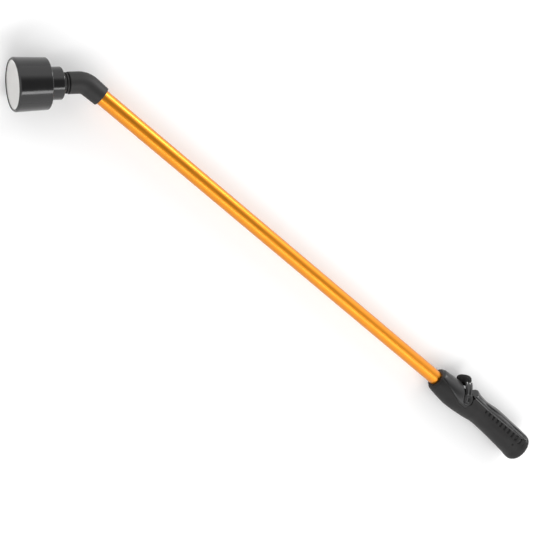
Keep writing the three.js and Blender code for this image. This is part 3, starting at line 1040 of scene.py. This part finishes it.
@dataclass(frozen=True)
class Valve:
    """The pressure body in the handle, with its plug, seats, seals and hose thread."""

    barrel_radius: float = 12.9
    barrel_start: float = 104.0
    barrel_end: float = 158.8
    barrel_socket: float = 9.85
    tube_stop: float = 132.4
    inlet_radius: float = 17.2
    inlet_bore: float = 15.7
    inlet_mouth: float = 1.6
    inlet_seat: float = 17.0
    insert_radius: float = 15.4
    thread_bore: float = 13.6
    waterway: float = 5.5
    pipe_radius: float = 8.6
    flanges: tuple[float, ...] = (75.0, 45.0)
    flange_radius: float = 11.2
    plug_radius: float = 9.0
    plug_half: float = 9.8
    stem: float = 5.0
    stem_end: float = 13.6
    drive_end: float = 16.3
    drive: float = 6.0
    chamber_radius: float = 12.0
    chamber_half: float = 13.6
    chamber_end_radius: float = 10.2
    chamber_floor: float = 10.2
    plug_port: tuple[float, float] = (6.4, 10.4)       # height and width
    stem_groove: tuple[float, float] = (11.1, 12.8)
    stem_groove_depth: float = 1.4
    port_reach: float = 12.0
    seat_port: tuple[float, float] = (5.8, 9.6)
    seat_radius: float = 7.3
    seat_start: float = 103.5
    seat_length: float = 9.6
    seal_places: tuple[float, float] = (140.0, 149.0)
    seal_radius: float = 10.75
    seal_thickness: float = 1.6
    stem_seal_place: float = 11.95
    stem_seal_radius: float = 4.45
    stem_seal_thickness: float = 1.1

    def chamber_form(self, grow: float) -> BMesh:
        """Returns the chamber's outer form, drawn larger all round by grow."""
        half, end = self.chamber_half + grow, self.chamber_end_radius + grow
        radius = self.chamber_radius + grow
        return about_pivot(turned([
            Corner(-half, 0), Corner(-half, end), Corner(-half + 1.8, radius),
            Corner(half - 1.8, radius), Corner(half, end), Corner(half, 0),
        ]))

    def body(self) -> BMesh:
        """Returns the pressure body: hose socket, pipe, valve chamber and tube socket."""
        half = self.seal_thickness / 2 + GAP
        floor = self.seal_radius + self.seal_thickness / 2 + GAP
        pocket = self.seat_radius + GAP
        outline = [
            Corner(self.barrel_end, self.barrel_socket, 0.3),
            Corner(self.barrel_end, self.barrel_radius, 0.8),
            Corner(self.barrel_start, self.barrel_radius, 1.0),
            Corner(self.barrel_start - 4, self.pipe_radius, 1.0),
        ]
        for place in self.flanges:
            outline += [
                Corner(place + 1.5, self.pipe_radius, 0.5),
                Corner(place + 1.5, self.flange_radius, 0.4),
                Corner(place - 1.5, self.flange_radius, 0.4),
                Corner(place - 1.5, self.pipe_radius, 0.5),
            ]
        outline += [
            Corner(30, self.pipe_radius, 1.5), Corner(21, self.inlet_radius, 1.5),
            Corner(self.inlet_mouth, self.inlet_radius, 0.4),
            Corner(self.inlet_mouth, self.inlet_bore, 0.2),
            Corner(self.inlet_seat, self.inlet_bore), Corner(self.inlet_seat, self.waterway, 0.6),
            Corner(self.seat_start - GAP, self.waterway), Corner(self.seat_start - GAP, pocket),
            Corner(self.tube_stop, pocket), Corner(self.tube_stop, self.barrel_socket),
        ]
        for place in self.seal_places:
            outline += [
                Corner(place - half, self.barrel_socket, 0.15), Corner(place - half, floor),
                Corner(place + half, floor), Corner(place + half, self.barrel_socket, 0.15),
            ]
        half = self.chamber_half + 1
        bore = about_pivot(turned(bar(-self.chamber_floor, half, self.plug_radius + GAP)))
        stem_hole = about_pivot(turned(bar(-half, 0, self.stem + GAP), FINE_ROUND))
        pockets = turned(bar(self.seat_start - GAP, self.tube_stop, pocket), FINE_ROUND)
        return cut(joined(turned(outline), self.chamber_form(0)), bore, stem_hole, pockets)

    def plug(self) -> BMesh:
        """Returns the turning plug: ported core, grooved stems and square drives."""
        groove = self.stem - self.stem_groove_depth
        near, far = self.stem_groove
        core = about_pivot(turned(bar(-self.plug_half, self.plug_half, self.plug_radius, 0.3)))
        stems = []
        for side in (-1, 1):
            outline = [
                Corner(0, 0), Corner(0, self.stem), Corner(near, self.stem, 0.15),
                Corner(near, groove), Corner(far, groove), Corner(far, self.stem, 0.15),
                Corner(self.stem_end, self.stem, 0.3), Corner(self.stem_end, 0),
            ]
            mirrored = [c._replace(x=side * c.x) for c in outline]
            stems.append(about_pivot(turned(mirrored, FINE_ROUND)))
            length = self.drive_end - self.stem_end + 0.5
            drive = block((self.drive, length, self.drive))
            bmesh.ops.bevel(
                drive, geom=drive.edges[:], offset=0.4, affect="EDGES", segments=2, profile=0.5,
                material=-1,
            )
            drive.transform(
                Matrix.Translation((Handle.pivot_x, side * (self.drive_end - length / 2), 0))
                @ Matrix.Rotation(math.radians(Lever.tilt_deg), 4, "Y")
            )
            stems.append(drive)
        reach = self.port_reach
        hole = port(*self.plug_port, Handle.pivot_x - reach, Handle.pivot_x + reach)
        return cut(joined(core, *stems), hole)

    def seat(self, side: int) -> BMesh:
        """Returns the seat on the hose side (-1) or the tube side (1) of the plug."""
        far = Handle.pivot_x + side * (Handle.pivot_x - self.seat_start)
        start, end = sorted((far, far - side * self.seat_length))
        hollow = about_pivot(turned(bar(-20, 20, self.plug_radius + GAP)))
        ring = turned(bar(start, end, self.seat_radius, 0.3), FINE_ROUND)
        return cut(ring, port(*self.seat_port, start - 1, end + 1), hollow)

    def build(self, maker: Maker) -> None:
        """Builds the pressure body and everything in it."""
        wand = maker.placing.wand
        maker.piece(
            "pressure_body", self.body(), wand, BODY_NYLON, Body.WAND, "valve_body",
        )
        maker.piece(
            "turning_plug", self.plug(), wand, ACETAL, Body.LEVER, "valve_plug",
        )
        for side, name in ((-1, "rear"), (1, "front")):
            maker.piece(
                f"valve_seat_{name}", self.seat(side), wand, NITRILE, Body.WAND,
                f"plug_seat_{name}",
            )
        for place, name in zip(self.seal_places, ("rear", "front")):
            seal = o_ring(self.seal_radius, self.seal_thickness)
            bmesh.ops.translate(seal, verts=seal.verts, vec=(place, 0, 0))
            maker.piece(
                f"socket_seal_{name}", seal, wand, NITRILE, Body.WAND,
                f"handle_o_ring_{name}",
            )
        for side, name in ((1, "left"), (-1, "right")):
            seal = o_ring(self.stem_seal_radius, self.stem_seal_thickness)
            bmesh.ops.translate(seal, verts=seal.verts, vec=(side * self.stem_seal_place, 0, 0))
            maker.piece(
                f"stem_seal_{name}", about_pivot(seal), wand, NITRILE, Body.LEVER,
                f"stem_o_ring_{name}",
            )
        retainer = sleeve(
            self.plug_half + 0.7, self.chamber_half - 0.2, self.stem + GAP, self.plug_radius, 0.3)
        maker.piece(
            "chamber_cap", about_pivot(turned(retainer, FINE_ROUND)), wand, BODY_NYLON,
            Body.WAND, "plug_retainer",
        )
        start, end = self.inlet_mouth - 0.4, self.inlet_seat - GAP
        insert = turned(sleeve(start, end, self.thread_bore, self.insert_radius, 0.4))
        turns = thread(start + 1.6, 9.0, HOSE_PITCH, self.thread_bore + 0.4, self.thread_bore - 0.9)
        maker.piece(
            "hose_thread", gathered(insert, turns), wand, TURNED_BRASS, Body.WAND,
            "inlet_insert",
        )
        washer = sleeve(end - 3, end, 7.5, self.thread_bore - GAP, 0.5)
        maker.piece(
            "hose_washer", turned(washer), wand, NITRILE, Body.WAND, "inlet_washer",
        )


# ---- Thumb lever ----


@dataclass(frozen=True)
class Lever:
    """The thumb lever, drawn upright over its pivot: a forked yoke and a soft thumb bar."""

    tilt_deg: float = 24.5
    boss_radius: float = 7.3
    arm_width: float = 11.2
    arm_fullness: float = 2.6      # the power of the section's curve: 2 is an ellipse
    pad_fullness: float = 2.5
    outer: float = 17.4
    inner: float = 14.0
    reach: float = 23.0
    turn_in: float = 7.0
    lean: float = 0.032      # how fast the arm's slope grows past turn_in, per mm
    bar_from: float = 17.6
    bar_to: float = 23.0
    bar_half: float = 12.5
    bar_depth: float = 6.0
    pad_reach: float = 25.2
    pad_half: float = 13.6
    pad_depth: float = 6.1
    pad_height: float = 6.9
    dot_pitch: float = 1.9
    dot_height: float = 0.55

    def arm_section(self) -> BMesh:
        """Returns the arm's section: a rounded strap with two ridges along its outer face."""
        bm = bmesh.new()
        bmesh.ops.create_circle(bm, cap_ends=True, segments=56, radius=1)
        half = self.arm_width / 2
        thick = (self.outer - self.inner) / 2
        for vert in bm.verts:
            full = self.arm_fullness
            scale = (abs(vert.co.x) ** full + abs(vert.co.y) ** full) ** (-1 / full)
            x, y = vert.co.x * scale, vert.co.y * scale
            channel = 0.3 * ridge(x, 0.3) if y > 0 else 0.0
            vert.co = Vector((x * half, (y - channel) * thick, 0))
        return bm

    def arm(self) -> BMesh:
        """Returns the left arm, from its boss up to the bar."""
        middle = (self.outer + self.inner) / 2
        stations = []
        for i in range(25):
            z = -3 + (self.reach + 3) * i / 24
            inward = self.lean * max(0.0, z - self.turn_in) ** 2 / 2
            waist = 1 - 0.06 * ridge(z - 10, 4)
            stations.append(
                Matrix.Translation((0, middle - inward, z)) @ Matrix.Diagonal((waist, 1, 1, 1))
            )
        return lofted(self.arm_section(), stations)

    def yoke(self) -> BMesh:
        """Returns both arms with their bosses, and the crossbar between them."""
        parts = []
        for side in (1, -1):
            arm = self.arm()
            if side < 0:
                arm.transform(Matrix.Scale(-1, 4, (0, 1, 0)))
                bmesh.ops.recalc_face_normals(arm, faces=arm.faces)
            outline = [
                Corner(self.inner, 0), Corner(self.inner, self.boss_radius, 0.4),
                Corner(self.outer, self.boss_radius, 0.9), Corner(self.outer, 3.6, 0.3),
                Corner(self.outer - 0.5, 3.3, 0.2), Corner(self.outer - 0.5, 0),
            ]
            boss = turned([c._replace(x=side * c.x) for c in outline])
            boss.transform(Matrix.Rotation(math.pi / 2, 4, "Z"))
            parts += [arm, boss]
        middle = (0, 0, (self.bar_from + self.bar_to) / 2)
        crossbar = block((self.bar_depth, 2 * self.bar_half, self.bar_to - self.bar_from), middle)
        bmesh.ops.bevel(
            crossbar, geom=crossbar.edges[:], offset=1.2, affect="EDGES", segments=3, profile=0.5,
            material=-1,
        )
        side = Valve.drive + 2 * GAP
        return cut(joined(*parts, crossbar), block((side, 2 * (Valve.drive_end + GAP), side)))

    def dots(self, along: float, across: float) -> float:
        """Returns the height of the thumb bar's raised dots, from 0 to 1, at a place on it."""
        row = round(across / (self.dot_pitch * HEX_ROW))
        best = math.inf
        for near in (row - 1, row, row + 1):
            shift = self.dot_pitch / 2 * (near % 2)
            nearest = round((along - shift) / self.dot_pitch) * self.dot_pitch + shift
            gap = math.hypot(along - nearest, across - near * self.dot_pitch * HEX_ROW)
            best = min(best, gap)
        return 1 - smoothstep(0.25 * self.dot_pitch, 0.42 * self.dot_pitch, best)

    def pad(self) -> BMesh:
        """Returns the soft thumb bar, a blunt rounded pad covered in small raised dots."""
        bm = bmesh.new()
        bmesh.ops.create_uvsphere(
            bm, u_segments=150, v_segments=110, radius=1,
            matrix=Matrix.Rotation(math.pi / 2, 4, "X"),
        )
        sizes = Vector((self.pad_depth, self.pad_half, self.pad_height))
        for vert in bm.verts:
            unit = vert.co.normalized()
            blunt = sum(abs(c) ** self.pad_fullness for c in unit) ** (-1 / self.pad_fullness)
            place = Vector(c * blunt * s for c, s in zip(unit, sizes))
            outward = Vector(c / s for c, s in zip(unit, sizes)).normalized()
            end = smoothstep(0.68, 0.76, abs(unit.y))
            girth = math.atan2(unit.x, unit.z) * (self.pad_depth + self.pad_height) / 2
            dots = (1 - end) * self.dots(place.y, girth) + end * self.dots(place.x, place.z)
            vert.co = place + outward * (dots - 0.5) * self.dot_height
        bmesh.ops.translate(bm, verts=bm.verts, vec=(0, 0, self.pad_reach))
        return tidy_solid(bm)

    def pad_room(self) -> BMesh:
        """Returns the room that the yoke takes out of the thumb bar."""
        height = self.bar_to - self.bar_from
        middle = (0, 0, (self.bar_from + self.bar_to) / 2)
        return block((self.bar_depth + 2 * GAP, 40, height + 2 * GAP), middle)

    def build(self, maker: Maker) -> None:
        """Builds the yoke and its thumb bar."""
        place = maker.placing.lever
        maker.piece(
            "thumb_yoke", self.yoke(), place, GLOSS_ABS, Body.LEVER, "thumb_lever",
        )
        pad = cut(self.pad(), self.pad_room())
        maker.piece("thumb_bar", pad, place, SOFT_GRIP, Body.LEVER, "lever_pad")


# ---- Water breaker ----


@dataclass(frozen=True)
class Breaker:
    """The screw-on water breaker, drawn from the middle of the elbow's bend."""

    collar_start: float = 28.0
    collar_radius: float = 18.5
    bore: float = 13.6
    bore_end: float = 45.3
    cup_start: float = 44.5
    cup_rear: float = 29.2
    cup_radius: float = 30.3
    rim: float = 83.0
    inside: float = 26.5
    ledge: float = 61.0
    face_seat: float = 80.6
    face_bore: float = 28.5
    throat: float = 7.5
    crown: float = 1.2
    hole_pitch: float = 3.0
    hole_bridge: float = 1.15
    hole_limit: float = 25.2
    sheet: float = 0.8
    hole_rings: tuple[tuple[int, float], ...] = ((6, 9.0), (12, 18.0))   # count, radius
    hole_radius: float = 1.6

    def cup(self) -> BMesh:
        """Returns the cup with its threaded collar."""
        return turned([
            Corner(self.collar_start, self.bore, 0.4),
            Corner(self.collar_start, self.collar_radius, 0.9),
            Corner(self.cup_start, self.collar_radius, 0.5),
            Corner(self.cup_start, self.cup_rear, 1.1),
            Corner(self.rim - 1.6, self.cup_radius, 0.5),
            Corner(self.rim, self.cup_radius - 1.5, 0.5),
            Corner(self.rim, self.face_bore, 0.2), Corner(self.face_seat, self.face_bore),
            Corner(self.face_seat, self.inside, 0.2), Corner(self.ledge, self.inside),
            Corner(self.ledge, self.inside - 1.3), Corner(self.ledge - 3, self.inside - 1.3),
            Corner(self.bore_end + 3, 12), Corner(self.bore_end + 3, self.throat, 0.5),
            Corner(self.bore_end, self.throat), Corner(self.bore_end, self.bore),
        ], 128)

    def face_height(self, radius: float) -> float:
        """Returns how far the domed face stands past its edge at a radius."""
        return self.crown * max(0.0, math.cos(radius / (self.face_bore - GAP) * math.pi / 2))

    def face(self) -> BMesh:
        """Returns the spray face: a domed disc with a fine honeycomb of holes."""
        bm = bmesh.new()
        pitch, reach = self.hole_pitch, self.face_bore + 3
        rows = math.ceil(reach / (pitch * HEX_ROW))
        for row in range(-rows, rows + 1):
            across = row * pitch * HEX_ROW
            shift = pitch / 2 * (row % 2)
            for column in range(-rows - 2, rows + 3):
                along = column * pitch + shift
                if math.hypot(across, along) < reach:
                    bmesh.ops.create_circle(
                        bm, cap_ends=True, segments=6, radius=pitch / math.sqrt(3),
                        matrix=Matrix.Translation((along, across, 0))
                        @ Matrix.Rotation(math.pi / 6, 4, "Z"),
                    )
        bmesh.ops.remove_doubles(bm, verts=bm.verts, dist=0.02)
        holed = [f for f in bm.faces if f.calc_center_median().length < self.hole_limit]
        bmesh.ops.inset_individual(bm, faces=holed, thickness=self.hole_bridge / 2)
        inner = list({edge for f in holed for edge in f.edges})
        bmesh.ops.subdivide_edges(bm, edges=inner, cuts=1)
        for f in holed:
            middle = f.calc_center_median()
            for vert in f.verts:
                vert.co = middle + (vert.co - middle).normalized() * (pitch - self.hole_bridge) / 2
        bmesh.ops.delete(bm, geom=holed, context="FACES_KEEP_BOUNDARY")
        bmesh.ops.recalc_face_normals(bm, faces=bm.faces)
        grown = bmesh.ops.extrude_face_region(bm, geom=bm.faces[:], use_keep_orig=True)
        moved = [part for part in grown["geom"] if isinstance(part, BMVert)]
        bmesh.ops.translate(bm, verts=moved, vec=(0, 0, -self.sheet))
        bmesh.ops.recalc_face_normals(bm, faces=bm.faces)
        bm.transform(Matrix.Rotation(math.pi / 2, 4, "Y"))
        top = self.face_seat + 1.5
        bmesh.ops.translate(bm, verts=bm.verts, vec=(top, 0, 0))
        disc = turned(bar(top - 3, top + 3, self.face_bore - GAP))
        bm = combined(bm, disc, Combine.KEEP)
        for vert in bm.verts:
            vert.co.x += self.face_height(math.hypot(vert.co.y, vert.co.z))
        return bm

    def diffuser(self) -> BMesh:
        """Returns the perforated disc inside the cup."""
        disc = turned(bar(self.ledge + GAP, self.ledge + 2.1, self.inside - GAP, 0.3))
        for count, radius in self.hole_rings:
            for i in range(count):
                angle = math.tau * i / count
                hole = turned(bar(self.ledge - 2, self.ledge + 5, self.hole_radius), 20)
                place = (0, radius * math.cos(angle), radius * math.sin(angle))
                bmesh.ops.translate(hole, verts=hole.verts, vec=place)
                disc = cut(disc, hole)
        return disc

    def build(self, maker: Maker) -> None:
        """Builds the cup, its face, its diffuser and the washer under it."""
        place = maker.placing.breaker
        maker.piece(
            "breaker_shell", self.cup(), place, GLOSS_ABS, Body.BREAKER, "breaker_cup",
        )
        maker.piece(
            "spray_face", self.face(), place, STAINLESS, Body.BREAKER, "face_plate",
        )
        ring = sleeve(
            self.face_seat + 1.8, self.rim + 0.2, self.face_bore - 1.2, self.face_bore - GAP, 0.3)
        maker.piece(
            "retaining_ring", turned(ring, 128), place, GLOSS_ABS, Body.BREAKER,
            "face_ring",
        )
        maker.piece(
            "stream_diffuser", self.diffuser(), place, BODY_NYLON, Body.BREAKER,
            "flow_diffuser",
        )
        washer = sleeve(Elbow.thread_end + GAP, self.bore_end - GAP, 8, self.bore - GAP, 0.4)
        maker.piece(
            "collar_washer", turned(washer), place, NITRILE, Body.HEAD_WASHER,
            "breaker_washer",
        )


# ---- Studio ----


@dataclass(frozen=True)
class Softbox:
    """A soft rectangular light, placed by its direction from the wand."""

    name: str
    direction: tuple[float, float, float]   # right, up and towards the viewer, in the camera's view
    distance_m: float
    size_m: tuple[float, float]
    watts: float


@dataclass(frozen=True)
class Studio:
    """The camera, the floor and the lights."""

    lens_mm: float = 85.0
    sensor_mm: float = 36.0
    eye: tuple[float, float, float] = (1005.4, 1363.4, -425.5)
    right: tuple[float, float, float] = (-0.717, 0.447, 0.535)
    up: tuple[float, float, float] = (0.595, -0.009, 0.804)
    aim_x: float = 420.0
    floor_size_m: float = 24.0
    wall_strength: float = 1.35
    ceiling_strength: float = 0.28
    ceiling_from: float = 0.62     # the sine of the elevation at which the walls begin to fade
    ceiling_to: float = 0.86
    softboxes: tuple[Softbox, ...] = (
        Softbox("low_strip", (0.42, -0.69, 0.57), 4.0, (6.0, 0.8), 75.0),
        Softbox("high_window", (0.78, 0.60, 0.18), 4.0, (0.9, 1.3), 50.0),
    )

    def turn(self, wand: Matrix) -> Matrix:
        """Returns the camera's rotation in the frame."""
        placed = wand.to_3x3().normalized()
        right = (placed @ Vector(self.right)).normalized()
        back = right.cross((placed @ Vector(self.up)).normalized()).normalized()
        up = back.cross(right)
        return Matrix((right, up, back)).transposed()

    def build(self, placing: Placing) -> None:
        """Sets up the camera, the floor and the lights."""
        scene = bpy.context.scene
        turn = self.turn(placing.wand)
        data = bpy.data.cameras.new("camera")
        data.lens, data.sensor_width = self.lens_mm, self.sensor_mm
        camera = bpy.data.objects.new("camera", data)
        camera.matrix_world = Matrix.Translation(placing.wand @ Vector(self.eye)) @ turn.to_4x4()
        scene.collection.objects.link(camera)
        scene.camera = camera
        middle = placing.wand @ Vector((self.aim_x, 0, 0))
        for box in self.softboxes:
            light: Light = bpy.data.lights.new(box.name, "AREA")
            light.shape = "RECTANGLE"
            light.size, light.size_y = box.size_m
            light.energy = box.watts
            lamp = bpy.data.objects.new(box.name, light)
            outward = (turn @ Vector(box.direction)).normalized()
            across = turn.col[0]
            across = (across - outward * across.dot(outward)).normalized()
            facing = Matrix((across, outward.cross(across), outward)).transposed().to_4x4()
            lamp.matrix_world = Matrix.Translation(middle + outward * box.distance_m) @ facing
            scene.collection.objects.link(lamp)
        scene.world = self.room()
        scene.view_settings.view_transform = "Standard"
        self.floor()

    def room(self) -> bpy.types.World:
        """Returns the room round the wand: bright white walls under a dim ceiling."""
        world = bpy.data.worlds.new("white walls")
        world.use_nodes = True
        tree = world.node_tree
        tree.nodes.clear()
        direction = add_node(tree, "ShaderNodeTexCoord").outputs["Generated"]
        height = add_node(tree, "ShaderNodeSeparateXYZ", {0: direction}).outputs["Z"]
        strength = add_node(
            tree, "ShaderNodeMapRange",
            {
                "Value": height, "From Min": self.ceiling_from, "From Max": self.ceiling_to,
                "To Min": self.wall_strength, "To Max": self.ceiling_strength,
            },
            interpolation_type="SMOOTHSTEP",
        ).outputs["Result"]
        sky = add_node(tree, "ShaderNodeBackground", {"Strength": strength, "Color": (1, 1, 1, 1)})
        add_node(tree, "ShaderNodeOutputWorld", {"Surface": sky.outputs["Background"]})
        return world

    def floor(self) -> None:
        """Lays the pale floor under the wand."""
        bm = bmesh.new()
        bmesh.ops.create_grid(bm, x_segments=8, y_segments=8, size=self.floor_size_m / 2)
        mesh = bpy.data.meshes.new("floor")
        bm.to_mesh(mesh)
        bm.free()
        floor = bpy.data.objects.new("floor", mesh)
        bpy.context.scene.collection.objects.link(floor)
        mesh.materials.append(Finish(
            name="white seamless paper", colour="#fbfbfb", second_colour="#f8f8f8",
            roughness=(0.85, 0.95), grain_mm=1.5, grain_height_mm=0.01, drift_mm=600,
        ).material(Matrix.Identity(4)))


def main() -> None:
    """Builds the studio and every sub-assembly, and logs each piece's face count as it is made."""
    logging.basicConfig(level=logging.INFO, format="%(name)s: %(message)s")
    placing = Placing.from_frame(frame["record"], frame["joints"])
    Studio().build(placing)
    maker = Maker(placing)
    for assembly in (Tube(), Elbow(), Handle(), Valve(), Lever(), Breaker()):
        log.info("building the %s", type(assembly).__name__.lower())
        assembly.build(maker)


if __name__ == "__main__":
    main()
